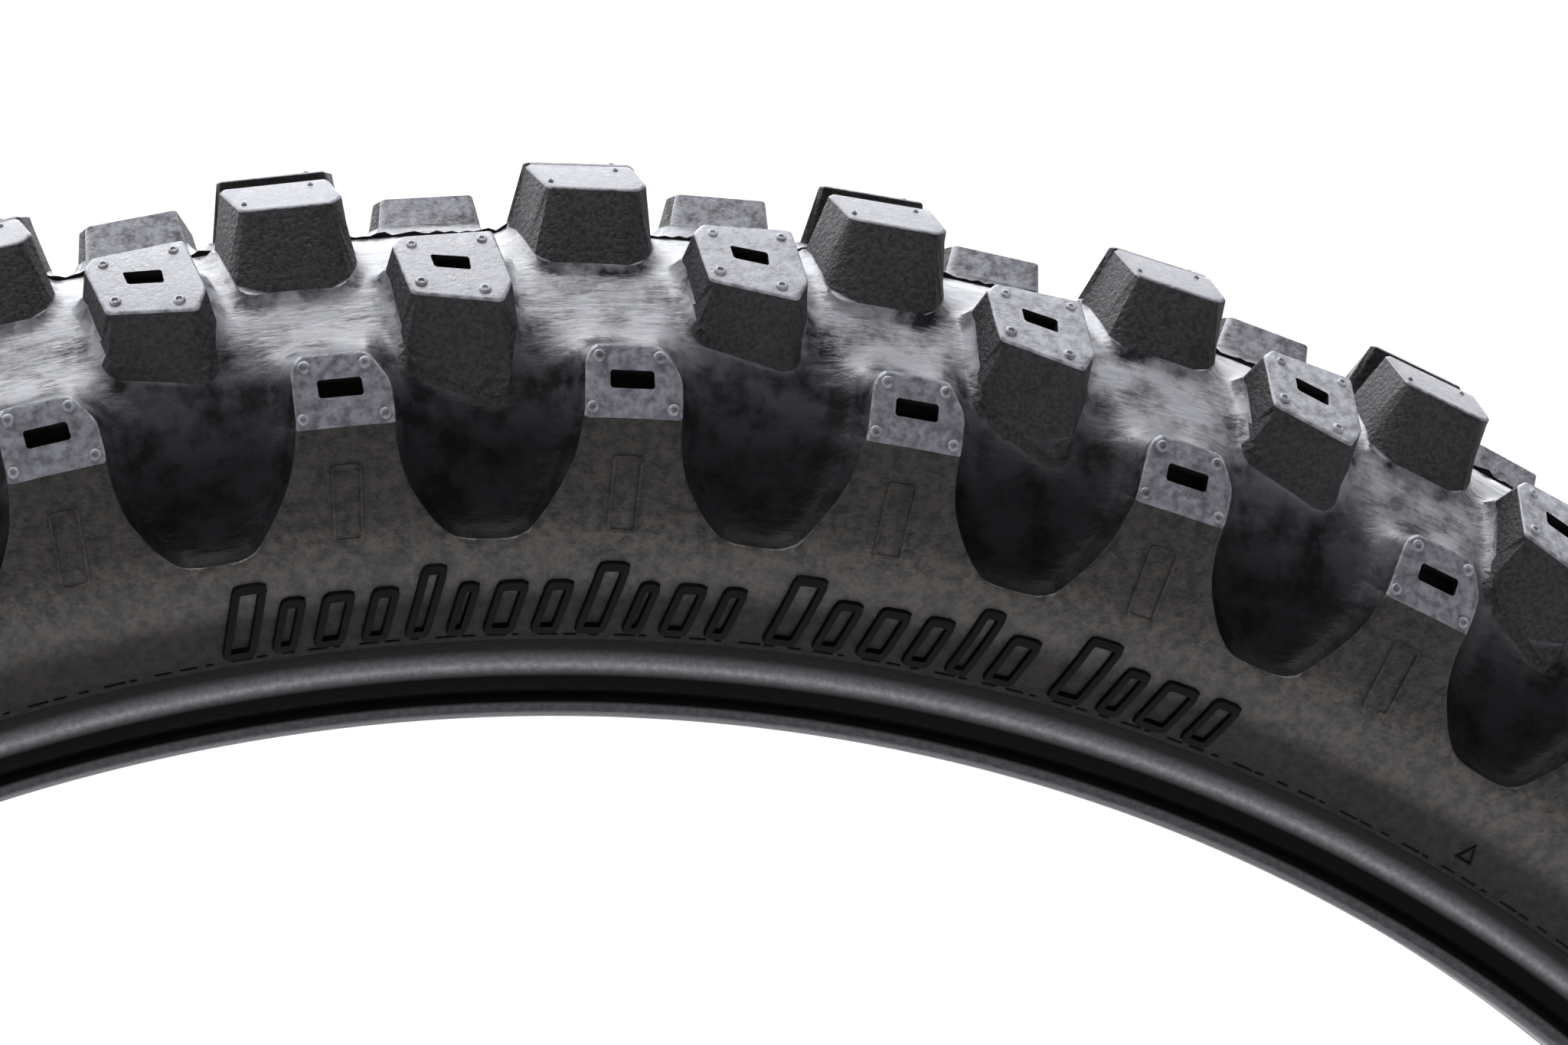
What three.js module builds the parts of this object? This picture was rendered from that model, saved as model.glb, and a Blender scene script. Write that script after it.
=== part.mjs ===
// Off-road motorcycle front tyre, 80/100-21, bias-ply and tube type, as a set of separate layers.
// Millimetres. The wheel axis is Y, +Z is up, and the origin is the wheel centre.
// A section point is [side, radius]: its distance from the tyre's centre plane and from the wheel axis.
// The right side of the tyre is at -Y and the left side at +Y.
import * as THREE from "three";
import { mergeVertices } from "three/addons/utils/BufferGeometryUtils.js";

// Tread
const PITCHES = 46; // tread pitches round the tyre
const PITCH_LINE_RADIUS = 351.5; // radius at which lengths along the tread are measured
const WALL_DEPTH = 10; // depth below a knob's top at which the steps of its walls are given
const KNOB_DRAFT = 1.7; // how far a side knob's foot stands out past its top
const SIDE_ROW_LEAD = 5.4; // side knobs sit this far ahead of the centre knobs, along the crown

// Casing section
const BASE_ARC = 31; // radius of the casing's crown, seen across the tread
const ARC_CENTRE = 307.5; // wheel axis to the centre of that arc
const SHOULDER_ANGLE = 68.5; // degrees from the crown to the end of the base arc
const CENTRE_ROW_EDGE = 22.3; // angle from the crown where the centre knobs' facet ends
const MIDDLE_ROW_EDGE = 56; // and where the middle knobs' facet ends
const FLANK_END = [36.8, 298.2]; // where the casing's flank meets the sidewall's bulge
const PARTING_RADIUS = 317.3; // mould parting line between the tread and a sidewall
const PARTING_GAP = 1.1; // room for the facets of the two rings that meet there
const SCALLOP_FLOOR = 299.3; // where the scallop between two buttresses runs out
const BUTTRESS_FOOT = 15.6; // half width of a buttress at its foot
const SIDEWALL_HALF_WIDTH = 41;
const RIM_LINE_RADIUS = 282.6;
const FLANGE_SIDE = 36.8; // flat face that the rim's flange bears on
const TOE = [18.6, 267.2];

// Layers, from the outside in
const GAP = 0.3; // between neighbouring layers
const TREAD_BASE = 2.4;
const FACET_ROOM = 0.9; // extra room where the number of facets changes
const UNDERTREAD = 0.9;
const BREAKER = 0.7;
const PLY = 0.9;
const LINER = 1;
const INNER_FACETS = PITCHES / 2;
const FACET_PHASE = 0.26; // share of a pitch from a middle row to the facet edge after it

// Bead
const CORE = { side: [23.6, 27.8], radius: [278.6, 283.2] };
const WRAP = 0.7;

const PITCH_ANGLE = (2 * Math.PI) / PITCHES;
const DEGREE = Math.PI / 180;
const WHEEL_AXIS = new THREE.Vector3(0, 1, 0);

// ---- Rings ----

// A closed section turned round the wheel axis. direction is -1 for the right side, +1 for the left.
function ring(section, facets, direction = -1) {
  const points = section.map(([side, radius]) => new THREE.Vector2(radius, direction * side));
  if (THREE.ShapeUtils.isClockWise(points)) points.reverse();
  points.push(points[0].clone());
  return new THREE.LatheGeometry(points, facets, FACET_PHASE * PITCH_ANGLE);
}

// Where a knob's edges, drawn on from its flat top towards its root, meet the plane of a facet.
function footOn(plane, { top, root }) {
  return top.map((corner, i) => {
    const edge = root[i].clone().sub(corner);
    const reach = -plane.distanceToPoint(corner) / plane.normal.dot(edge);
    return corner.clone().addScaledVector(edge, reach);
  });
}

// One facet with a knob on it: the facet round the knob's foot, the knob's walls and its top.
function knobbedFacet(quad, knob) {
  const along = quad[1].clone().sub(quad[0]).normalize();
  const normal = along.clone().cross(quad[3].clone().sub(quad[0])).normalize();
  const across = normal.clone().cross(along);
  const plane = new THREE.Plane().setFromNormalAndCoplanarPoint(normal, quad[0]);
  const flat = (point) => new THREE.Vector2(point.dot(along), point.dot(across));
  const foot = footOn(plane, knob);
  const top = [...knob.top];
  if (THREE.ShapeUtils.isClockWise(foot.map(flat))) {
    foot.reverse();
    top.reverse();
  }
  const triangles = [];
  const rim = [...quad, ...foot];
  for (const [a, b, c] of THREE.ShapeUtils.triangulateShape(quad.map(flat), [foot.map(flat)])) {
    const corners = [rim[a], rim[b], rim[c]];
    if (THREE.ShapeUtils.isClockWise(corners.map(flat))) corners.reverse();
    triangles.push(corners);
  }
  foot.forEach((corner, i) => {
    const next = (i + 1) % foot.length;
    triangles.push([corner, foot[next], top[next]], [corner, top[next], top[i]]);
    if (i > 0 && next > 0) triangles.push([top[0], top[i], top[next]]);
  });
  return triangles;
}

// A closed section turned round the wheel axis in one facet to a pitch. knobOn(step, row) gives the
// knob that stands on the facet between two section points, or null.
function knobbedRing(section, direction, knobOn) {
  const station = ([side, radius], row) => {
    const angle = (row + FACET_PHASE) * PITCH_ANGLE;
    return new THREE.Vector3(radius * Math.sin(angle), direction * side, radius * Math.cos(angle));
  };
  const triangles = [];
  for (let row = 0; row < PITCHES; row++)
    section.forEach((point, step) => {
      const next = section[(step + 1) % section.length];
      const quad = [
        station(point, row),
        station(next, row),
        station(next, row + 1),
        station(point, row + 1),
      ];
      const knob = knobOn(step, row);
      if (knob) triangles.push(...knobbedFacet(quad, knob));
      else triangles.push([quad[0], quad[1], quad[2]], [quad[0], quad[2], quad[3]]);
    });
  const volume = triangles.reduce((sum, [a, b, c]) => sum + a.dot(b.clone().cross(c)), 0);
  if (volume < 0) triangles.forEach((corners) => corners.reverse());
  const geometry = new THREE.BufferGeometry().setFromPoints(triangles.flat());
  const closed = mergeVertices(geometry, 1e-3);
  closed.computeVertexNormals();
  return closed;
}

// ---- Section lines ----

function onArc(arc, degrees) {
  const angle = degrees * DEGREE;
  return [arc * Math.sin(angle), ARC_CENTRE + arc * Math.cos(angle)];
}

// Point of the casing's flank at a radius, a depth below its outer surface.
function onFlank(radius, depth = 0) {
  const [side, top] = onArc(BASE_ARC, SHOULDER_ANGLE);
  const share = (top - radius) / (top - FLANK_END[1]);
  return [side + share * (FLANK_END[0] - side) - depth, radius];
}

// Crown points of a layer from the centre plane out to a last angle.
function crownLine(depth, lastAngle = SHOULDER_ANGLE) {
  return [0, CENTRE_ROW_EDGE, MIDDLE_ROW_EDGE, SHOULDER_ANGLE]
    .filter((angle) => angle <= lastAngle)
    .map((angle) => onArc(BASE_ARC - depth, angle));
}

// A layer that crosses the crown: its right half and the mirror image of it, as one closed section.
function acrossCrown(outer, inner) {
  const flip = ([side, radius]) => [-side, radius];
  return [
    ...outer.slice(1).reverse().map(flip),
    ...outer,
    ...inner.slice(1).reverse(),
    ...inner.map(flip),
  ];
}

// Points given as [along, side, height] in the upright frame of one row: along the tread, out from
// the centre plane, and up from the wheel axis.
function inRow(points, angle, direction) {
  return points.map(([along, side, height]) =>
    new THREE.Vector3(along, direction * side, height).applyAxisAngle(WHEEL_AXIS, angle),
  );
}

// ---- Tread ----

// A knob has a flat top that leans outwards by some degrees; its middle is a section point, and rows
// step in and out from there in turn. The outline is [along, out] from that middle, and the walls are
// how far each corner moves along and out by the time it is WALL_DEPTH below the top.
const CENTRE_KNOB = {
  middle: [6.5, 348.3],
  lean: 13,
  stagger: 1.45,
  outline: [
    [-8.6, -4.4],
    [7.9, -4.4],
    [9.6, 2.9],
    [7.9, 4.9],
    [-6.1, 4.7],
  ],
  walls: [
    [-2, 1.9],
    [1.4, 1.9],
    [1.5, 0.6],
    [0.4, 0.6],
    [-1.4, 0.6],
  ],
};
const MIDDLE_KNOB = {
  middle: [21, 338.95],
  lean: 34,
  stagger: 1.75,
  outline: [
    [-6.8, -6.6],
    [7.1, -7.2],
    [9.2, 3.8],
    [7.4, 8],
    [-6.2, 5.6],
    [-8.4, -4.4],
  ],
  walls: [
    [-2, 4.6],
    [1.4, 4.9],
    [1.6, 1],
    [0.3, 1],
    [-1, 1],
    [-2.2, 3.4],
  ],
};
const MIDDLE_KNOB_LEAD = 1.1; // middle knobs are this far ahead of half-way between centre knobs
const SIDE_KNOB_LEAN = SIDE_ROW_LEAD / PITCH_LINE_RADIUS; // the same lead as an angle

function crownKnob({ middle, lean, stagger, outline, walls }, row, angle, direction) {
  const cos = Math.cos(lean * DEGREE);
  const sin = Math.sin(lean * DEGREE);
  const shift = row % 2 ? stagger : -stagger;
  const placed = ([along, out], depth) => [
    along,
    middle[0] + (out + shift) * cos - depth * sin,
    middle[1] - (out + shift) * sin - depth * cos,
  ];
  const top = outline.map((corner) => placed(corner, 0));
  const root = outline.map(([along, out], i) =>
    placed([along + walls[i][0], out + walls[i][1]], WALL_DEPTH),
  );
  return { top: inRow(top, angle, direction), root: inRow(root, angle, direction) };
}

// The side knob's patch runs down to the parting line, where the buttress below it starts.
const SIDE_PATCH = { top: [33.5, 327.7], foot: [38, PARTING_RADIUS + 0.2] };
const SIDE_ROOT = { top: [26.5, 323.3], foot: [29.1, PARTING_RADIUS + 0.8] };
const SIDE_KNOB_BACK = -7.2;
const SIDE_KNOB_FRONT = 8.2;
const SIDE_KNOB_CORNER = { front: 5.1, share: 0.42 }; // the upper front corner is cut off

function sideKnob(row, direction) {
  const angle = (row + 0.5) * PITCH_ANGLE + SIDE_KNOB_LEAN;
  const level = ({ top, foot }, draft) => {
    const { front, share } = SIDE_KNOB_CORNER;
    const down = [top[0] + share * (foot[0] - top[0]), top[1] + share * (foot[1] - top[1])];
    const points = [
      [SIDE_KNOB_BACK - draft, ...top],
      [front + draft, ...top],
      [SIDE_KNOB_FRONT + draft, ...down],
      [SIDE_KNOB_FRONT + draft, ...foot],
      [SIDE_KNOB_BACK - draft, ...foot],
    ];
    return inRow(points, angle, direction);
  };
  return { top: level(SIDE_PATCH, 0), root: level(SIDE_ROOT, KNOB_DRAFT) };
}

// The knobs of one row on one side of the tread, each on its own facet.
function centreRowKnob(row, direction) {
  return crownKnob(CENTRE_KNOB, row, (row + 0.5) * PITCH_ANGLE, direction);
}

function middleRowKnob(row, direction) {
  const angle = (row + 1) * PITCH_ANGLE + MIDDLE_KNOB_LEAD / PITCH_LINE_RADIUS;
  return crownKnob(MIDDLE_KNOB, row, angle, direction);
}

function treadGeometry() {
  const halfLine = (depth) => [
    ...crownLine(depth, MIDDLE_ROW_EDGE),
    onFlank(PARTING_RADIUS, depth),
  ];
  const section = acrossCrown(halfLine(0), halfLine(TREAD_BASE));
  // The outer surface has six facets across: side, middle, centre, and the same three mirrored.
  const knobRows = [
    [sideKnob, 1],
    [middleRowKnob, 1],
    [centreRowKnob, 1],
    [centreRowKnob, -1],
    [middleRowKnob, -1],
    [sideKnob, -1],
  ];
  return knobbedRing(section, -1, (step, row) => {
    if (step >= knobRows.length) return null;
    const [knob, direction] = knobRows[step];
    return knob(row, direction);
  });
}

// ---- Sidewalls ----

const SIDEWALL_TOP = PARTING_RADIUS - PARTING_GAP;
const SIDEWALL_SECTION = [
  onFlank(SIDEWALL_TOP),
  [37.2, SCALLOP_FLOOR],
  [SIDEWALL_HALF_WIDTH, SCALLOP_FLOOR - 1.5],
  [39.6, 288.5],
  [36.9, RIM_LINE_RADIUS],
  [34.6, RIM_LINE_RADIUS],
  [34.4, 297.5],
  onFlank(SIDEWALL_TOP, TREAD_BASE),
];

// The buttress carries a side knob down to the sidewall and widens towards its foot.
function buttress(row, direction) {
  const angle = (row + 0.5) * PITCH_ANGLE + SIDE_KNOB_LEAN;
  const middle = (SIDE_KNOB_BACK + SIDE_KNOB_FRONT) / 2;
  const level = (draft, [topSide, topHeight], [footSide, footHeight]) => {
    const topHalf = SIDE_KNOB_FRONT - middle + draft;
    const points = [
      [middle - topHalf, topSide, topHeight],
      [middle + topHalf, topSide, topHeight],
      [middle + BUTTRESS_FOOT - draft, footSide, footHeight],
      [middle - BUTTRESS_FOOT + draft, footSide, footHeight],
    ];
    return inRow(points, angle, direction);
  };
  return {
    top: level(0, [SIDE_PATCH.foot[0], SIDEWALL_TOP], [SIDEWALL_HALF_WIDTH, SCALLOP_FLOOR + 1]),
    root: level(KNOB_DRAFT, onFlank(SIDEWALL_TOP - 1), [36.8, SCALLOP_FLOOR + 2]),
  };
}

function sidewallGeometry(direction) {
  return knobbedRing(SIDEWALL_SECTION, direction, (step, row) =>
    step > 0 ? null : buttress(row, direction),
  );
}

// ---- Layers under the tread and the sidewalls ----

const UNDERTREAD_DEPTH = TREAD_BASE + GAP + FACET_ROOM;
const BREAKER_DEPTH = UNDERTREAD_DEPTH + UNDERTREAD + GAP;
const OUTER_PLY_DEPTH = BREAKER_DEPTH + BREAKER + GAP;
const INNER_PLY_DEPTH = OUTER_PLY_DEPTH + PLY + GAP;
const LINER_DEPTH = INNER_PLY_DEPTH + PLY + GAP;

function crownBand(depth, thickness, lastAngle) {
  const section = acrossCrown(crownLine(depth, lastAngle), crownLine(depth + thickness, lastAngle));
  return ring(section, INNER_FACETS);
}

// A layer from bead to bead: it follows the casing and goes down the inner side of each bead core.
function casingLayer(depth, thickness, beadSide, endRadius) {
  const line = (extra) => [
    ...crownLine(depth + extra),
    [FLANK_END[0] - depth - extra, FLANK_END[1]],
    [beadSide + thickness - extra, CORE.radius[1] + 3],
    [beadSide + thickness - extra, endRadius],
  ];
  return ring(acrossCrown(line(0), line(thickness)), INNER_FACETS);
}

const CORE_INNER = CORE.side[0] - GAP - WRAP;
const CORE_OUTER = CORE.side[1] + GAP + WRAP;
const OUTER_PLY_SIDE = CORE_INNER - GAP - PLY;
const INNER_PLY_SIDE = OUTER_PLY_SIDE - GAP - PLY;
const LINER_SIDE = INNER_PLY_SIDE - GAP - LINER;
const TURN_RADIUS = CORE.radius[0] - 2 * GAP - WRAP - PLY; // underside of the ply that wraps the core
const TURN_UP_END = [33.9, 296];

// The inner ply is anchored: it goes under each bead core and turns up on the outer side of it.
function anchoredPly() {
  const depth = INNER_PLY_DEPTH;
  const side = CORE_OUTER + GAP;
  const outer = [
    ...crownLine(depth),
    [FLANK_END[0] - depth, FLANK_END[1]],
    [INNER_PLY_SIDE + PLY, CORE.radius[1] + 3],
    [INNER_PLY_SIDE + PLY, TURN_RADIUS + PLY],
    [side, TURN_RADIUS + PLY],
    [side, CORE.radius[1]],
    [TURN_UP_END[0] - PLY, TURN_UP_END[1]],
  ];
  const inner = [
    ...crownLine(depth + PLY),
    [FLANK_END[0] - depth - PLY, FLANK_END[1]],
    [INNER_PLY_SIDE, CORE.radius[1] + 3],
    [INNER_PLY_SIDE, TURN_RADIUS],
    [side + PLY, TURN_RADIUS],
    [side + PLY, CORE.radius[1] - 0.5],
    TURN_UP_END,
  ];
  return ring(acrossCrown(outer, inner), INNER_FACETS);
}

// ---- Bead and shoulder pieces, one of each to a side ----

const [CORE_FOOT, CORE_TOP] = CORE.radius;
const WRAP_TOP = CORE_TOP + 2.6;

const SIDE_PIECES = {
  shoulder_wedge: {
    section: [
      onArc(BASE_ARC - UNDERTREAD_DEPTH, 58.5),
      onFlank(308.5, UNDERTREAD_DEPTH),
      onArc(BASE_ARC - OUTER_PLY_DEPTH + GAP, 66.5),
      onArc(BASE_ARC - OUTER_PLY_DEPTH + GAP, 58.5),
    ],
    facets: INNER_FACETS,
    slot: "inner_rubber",
  },
  bead_core: {
    section: [
      [CORE.side[0], CORE_FOOT],
      [CORE.side[1], CORE_FOOT],
      [CORE.side[1], CORE_TOP],
      [CORE.side[0], CORE_TOP],
    ],
    facets: INNER_FACETS,
    slot: "bead_wire",
  },
  bead_wrap: {
    section: [
      [CORE_INNER, WRAP_TOP],
      [CORE_INNER, CORE_FOOT - GAP - WRAP],
      [CORE_OUTER, CORE_FOOT - GAP - WRAP],
      [CORE_OUTER, WRAP_TOP - 1.6],
      [CORE_OUTER - WRAP, WRAP_TOP - 1.6],
      [CORE_OUTER - WRAP, CORE_FOOT - GAP],
      [CORE_INNER + WRAP, CORE_FOOT - GAP],
      [CORE_INNER + WRAP, WRAP_TOP],
    ],
    facets: INNER_FACETS,
    slot: "cord_fabric",
  },
  bead_filler: {
    section: [
      [CORE.side[0], CORE_TOP + GAP],
      [CORE.side[1], CORE_TOP + GAP],
      [30.2, 293.5],
    ],
    facets: INNER_FACETS,
    slot: "inner_rubber",
  },
  chafer: {
    section: [
      [FLANGE_SIDE, RIM_LINE_RADIUS - GAP],
      [FLANGE_SIDE, 277.9],
      [32, 271.2],
      [22.4, 268.3],
      [22.2, 270.8],
      [30.6, 272.8],
      [34.4, RIM_LINE_RADIUS - GAP],
    ],
    facets: PITCHES,
    slot: "chafer_fabric",
  },
  toe_strip: {
    section: [
      [22.1, 268.2],
      TOE,
      [18.2, 271.8],
      [21.8, 271.6],
    ],
    facets: PITCHES,
    slot: "toe_rubber",
  },
};

// ---- Assembly ----

const FINISH = {
  tread_rubber: { color: 0x3a3a3e, roughness: 0.55, metalness: 0 },
  sidewall_rubber: { color: 0x35322f, roughness: 0.5, metalness: 0 },
  inner_rubber: { color: 0x232325, roughness: 0.6, metalness: 0 },
  liner_rubber: { color: 0x29292b, roughness: 0.5, metalness: 0 },
  cord_fabric: { color: 0x5b5346, roughness: 0.85, metalness: 0 },
  chafer_fabric: { color: 0x1c1c1f, roughness: 0.35, metalness: 0 },
  toe_rubber: { color: 0x38383c, roughness: 0.5, metalness: 0 },
  bead_wire: { color: 0xa08a5a, roughness: 0.35, metalness: 1 },
};

const tyre = new THREE.Group();

function addPiece(name, slot, geometry) {
  const mesh = new THREE.Mesh(geometry, new THREE.MeshStandardMaterial(FINISH[slot]));
  mesh.name = name;
  tyre.add(mesh);
}

addPiece("tread", "tread_rubber", treadGeometry());
addPiece("undertread", "inner_rubber", crownBand(UNDERTREAD_DEPTH, UNDERTREAD, MIDDLE_ROW_EDGE));
addPiece("crown_breaker", "cord_fabric", crownBand(BREAKER_DEPTH, BREAKER, MIDDLE_ROW_EDGE));
addPiece(
  "outer_body_ply",
  "cord_fabric",
  casingLayer(OUTER_PLY_DEPTH, PLY, OUTER_PLY_SIDE, CORE_FOOT),
);
addPiece("inner_body_ply", "cord_fabric", anchoredPly());
addPiece("inner_liner", "liner_rubber", casingLayer(LINER_DEPTH, LINER, LINER_SIDE, TURN_RADIUS));

for (const [side, direction] of [
  ["right", -1],
  ["left", 1],
]) {
  addPiece("sidewall_" + side, "sidewall_rubber", sidewallGeometry(direction));
  for (const [name, { section, facets, slot }] of Object.entries(SIDE_PIECES))
    addPiece(name + "_" + side, slot, ring(section, facets, direction));
}

export default tyre;
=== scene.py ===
import math

import bmesh
import bpy
import numpy as np
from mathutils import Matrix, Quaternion, Vector
from mathutils.geometry import delaunay_2d_cdt


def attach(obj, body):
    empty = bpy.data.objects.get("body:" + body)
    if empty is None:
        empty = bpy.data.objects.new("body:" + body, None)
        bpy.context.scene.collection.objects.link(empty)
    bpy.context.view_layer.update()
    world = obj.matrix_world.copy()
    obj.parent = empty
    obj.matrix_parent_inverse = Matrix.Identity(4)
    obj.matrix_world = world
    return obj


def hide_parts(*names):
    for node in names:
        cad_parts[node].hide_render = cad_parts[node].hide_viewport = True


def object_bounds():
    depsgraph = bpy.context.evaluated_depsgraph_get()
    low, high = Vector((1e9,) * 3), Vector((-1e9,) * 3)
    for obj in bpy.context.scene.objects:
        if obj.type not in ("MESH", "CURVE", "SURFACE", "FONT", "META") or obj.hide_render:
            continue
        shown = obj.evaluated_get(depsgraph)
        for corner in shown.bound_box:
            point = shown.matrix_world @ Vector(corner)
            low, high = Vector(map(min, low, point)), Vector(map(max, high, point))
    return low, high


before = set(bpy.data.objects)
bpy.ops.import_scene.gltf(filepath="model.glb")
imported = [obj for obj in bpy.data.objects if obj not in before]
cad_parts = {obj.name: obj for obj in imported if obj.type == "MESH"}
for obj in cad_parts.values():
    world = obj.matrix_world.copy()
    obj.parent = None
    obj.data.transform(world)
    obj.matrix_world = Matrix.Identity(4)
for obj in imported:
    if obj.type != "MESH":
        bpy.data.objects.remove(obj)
cad_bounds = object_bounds()

MM = 0.001
PITCHES = 46
CROWN = 351.5  # the radius at which u is measured
PITCH = 2 * math.pi * CROWN / PITCHES
SIDE_LEAD = 5.4  # how far a side knob and a middle knob stand ahead along u
MIDDLE_LEAD = 1.1
# The casing: an arc round [0, ARC_CENTRE], a straight flank from its shoulder, a lower curve.
BASE_ARC = 31.0
ARC_CENTRE = 307.5
SHOULDER = math.radians(68.5)
ARC_END = BASE_ARC * SHOULDER
FLANK_TOP = np.array([BASE_ARC * math.sin(SHOULDER), ARC_CENTRE + BASE_ARC * math.cos(SHOULDER)])
FLANK_FOOT = np.array([36.8, 298.2])
# A side knob's face runs from PATCH_TOP to PATCH_FOOT, and its buttress from there to WIDEST.
PATCH_TOP = np.array([33.5, 327.7])
PATCH_FOOT = np.array([38.0, 317.3])
WIDEST = np.array([41.0, 299.3])
LOWER = [[41.0, 299.3], [41.15, 296.6], [40.75, 292.6], [39.8, 288.9], [38.6, 285.6], [36.9, 282.6]]
SEAM = 12.3  # u at which a two-pitch stretch of the tread starts, between knobs


def unit(v):
    """Each vector along the last axis, at length 1."""
    return v / np.maximum(np.linalg.norm(v, axis=-1, keepdims=True), 1e-9)


def left_of(v):
    """Each plane vector turned a quarter to its left."""
    return np.stack([-v[..., 1], v[..., 0]], -1)


FLANK = unit(FLANK_FOOT - FLANK_TOP)
FLANK_NORMAL = left_of(FLANK)


# ---- the casing's outer surface ----


def spline(points, step):
    """A smooth curve through the points, sampled about every step."""
    p = np.asarray(points, float)
    ends = np.vstack([2 * p[0] - p[1], p, 2 * p[-1] - p[-2]])
    out = [p[0]]
    for a, b, c, d in zip(ends, ends[1:], ends[2:], ends[3:]):
        count = max(1, int(math.ceil(np.linalg.norm(c - b) / step)))
        square = 2 * a - 5 * b + 4 * c - d
        cube = 3 * b - a - 3 * c + d
        for k in range(1, count + 1):
            t = k / count
            out.append(0.5 * (2 * b + (c - a) * t + square * t * t + cube * t**3))
    return np.array(out)


LOWER_CURVE = spline(LOWER, 0.5)
LOWER_STEPS = np.linalg.norm(np.diff(LOWER_CURVE, axis=0), axis=1)
LOWER_LENGTH = np.concatenate([[0], np.cumsum(LOWER_STEPS)])


def on_casing(side, radius):
    """(s, height) of a section point above the arc or the flank."""
    side, radius = np.asarray(side, float), np.asarray(radius, float)
    phi = np.arctan2(side, radius - ARC_CENTRE)
    arc_s = BASE_ARC * phi
    arc_h = np.hypot(side, radius - ARC_CENTRE) - BASE_ARC
    ds, dr = side - FLANK_TOP[0], radius - FLANK_TOP[1]
    flank_s = ARC_END + ds * FLANK[0] + dr * FLANK[1]
    flank_h = ds * FLANK_NORMAL[0] + dr * FLANK_NORMAL[1]
    on_arc = phi <= SHOULDER
    return np.where(on_arc, arc_s, flank_s), np.where(on_arc, arc_h, flank_h)


LOWER_START = float(on_casing(*WIDEST)[0])
S_END = LOWER_START + LOWER_LENGTH[-1]
PATCH_START = float(on_casing(*PATCH_TOP)[0])
PATCH_END = float(on_casing(*PATCH_FOOT)[0])


def casing(s):
    """Section point and outward normal at s, for s from 0 to the rim line."""
    s = np.asarray(s, float)
    phi = np.minimum(s / BASE_ARC, SHOULDER)
    point = np.stack([BASE_ARC * np.sin(phi), ARC_CENTRE + BASE_ARC * np.cos(phi)], -1)
    normal = np.stack([np.sin(phi), np.cos(phi)], -1)
    flank = s > ARC_END
    point = np.where(flank[..., None], FLANK_TOP + (s - ARC_END)[..., None] * FLANK, point)
    normal = np.where(flank[..., None], FLANK_NORMAL, normal)
    low = np.clip(s - LOWER_START, 0, LOWER_LENGTH[-1])

    def curve_at(length):
        return np.stack([np.interp(length, LOWER_LENGTH, LOWER_CURVE[:, i]) for i in (0, 1)], -1)

    lower = s > LOWER_START
    point = np.where(lower[..., None], curve_at(low), point)
    along = unit(curve_at(low + 0.3) - curve_at(low - 0.3))
    normal = np.where(lower[..., None], left_of(along), normal)
    return point, normal


def line_height(s, a, b):
    """Height above the casing, along its normal, of the line from a to b."""
    point, normal = casing(s)
    d = b - a
    cross = normal[..., 0] * d[1] - normal[..., 1] * d[0]
    to = a - point
    return (to[..., 0] * d[1] - to[..., 1] * d[0]) / cross


def raised_height(s):
    """Height of the side knobs' patches and of the buttresses."""
    s = np.asarray(s, float)
    low = np.clip(s, PATCH_START, LOWER_START)
    patch = line_height(low, PATCH_TOP, PATCH_FOOT)
    buttress = line_height(low, PATCH_FOOT, WIDEST)
    return np.where(s >= LOWER_START, 0, np.where(low < PATCH_END, patch, buttress))


# ---- plane geometry ----


def to_segments(points, a, b):
    """Distance from each point to the nearest of the segments a-b."""
    best = np.full(len(points), 1e9)
    for p, q in zip(a, b):
        d = q - p
        t = np.clip(((points - p) @ d) / max(d @ d, 1e-12), 0, 1)
        best = np.minimum(best, np.linalg.norm(points - p - t[:, None] * d, axis=1))
    return best


def inside(points, polygon):
    """Whether each point lies in the closed polygon."""
    hit = np.zeros(len(points), bool)
    for p, q in zip(polygon, np.roll(polygon, -1, axis=0)):
        crosses = (p[1] > points[:, 1]) != (q[1] > points[:, 1])
        if not crosses.any():
            continue
        x = p[0] + (points[:, 1] - p[1]) * (q[0] - p[0]) / (q[1] - p[1] if q[1] != p[1] else 1e-12)
        hit ^= crosses & (points[:, 0] < x)
    return hit


def rounded(polygon, radius, arc_points=3):
    """The polygon with each corner rounded, and its straight stretches left whole."""
    p = np.asarray(polygon, float)
    out = []
    for i in range(len(p)):
        a, b, c = p[i - 1], p[i], p[(i + 1) % len(p)]
        da, dc = a - b, c - b
        la, lc = np.linalg.norm(da), np.linalg.norm(dc)
        reach = min(radius, la * 0.35, lc * 0.35)
        start, end = b + da / la * reach, b + dc / lc * reach
        for t in np.linspace(0, 1, arc_points):
            out.append((1 - t) ** 2 * start + 2 * t * (1 - t) * b + t * t * end)
    return np.array(out)


def subdivided(points, step, closed=True):
    p = np.asarray(points, float)
    out = []
    for i in range(len(p) if closed else len(p) - 1):
        a, b = p[i], p[(i + 1) % len(p)]
        count = max(1, int(round(np.linalg.norm(b - a) / step)))
        for k in range(count):
            out.append(a + (b - a) * k / count)
    if not closed:
        out.append(p[-1])
    return np.array(out)


def anticlockwise(polygon):
    x, y = np.asarray(polygon, float).T
    return np.sum(x * np.roll(y, -1) - np.roll(x, -1) * y) > 0


def inset(polygon, distance):
    """The polygon with every side moved inwards, for a convex outline."""
    p = np.asarray(polygon, float)
    turn = 1 if anticlockwise(p) else -1
    out = []
    for i in range(len(p)):
        n1 = turn * left_of(unit(p[i] - p[i - 1]))
        n2 = turn * left_of(unit(p[(i + 1) % len(p)] - p[i]))
        out.append(p[i] + (n1 + n2) * distance / max(1 + n1 @ n2, 0.4))
    return np.array(out)


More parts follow.
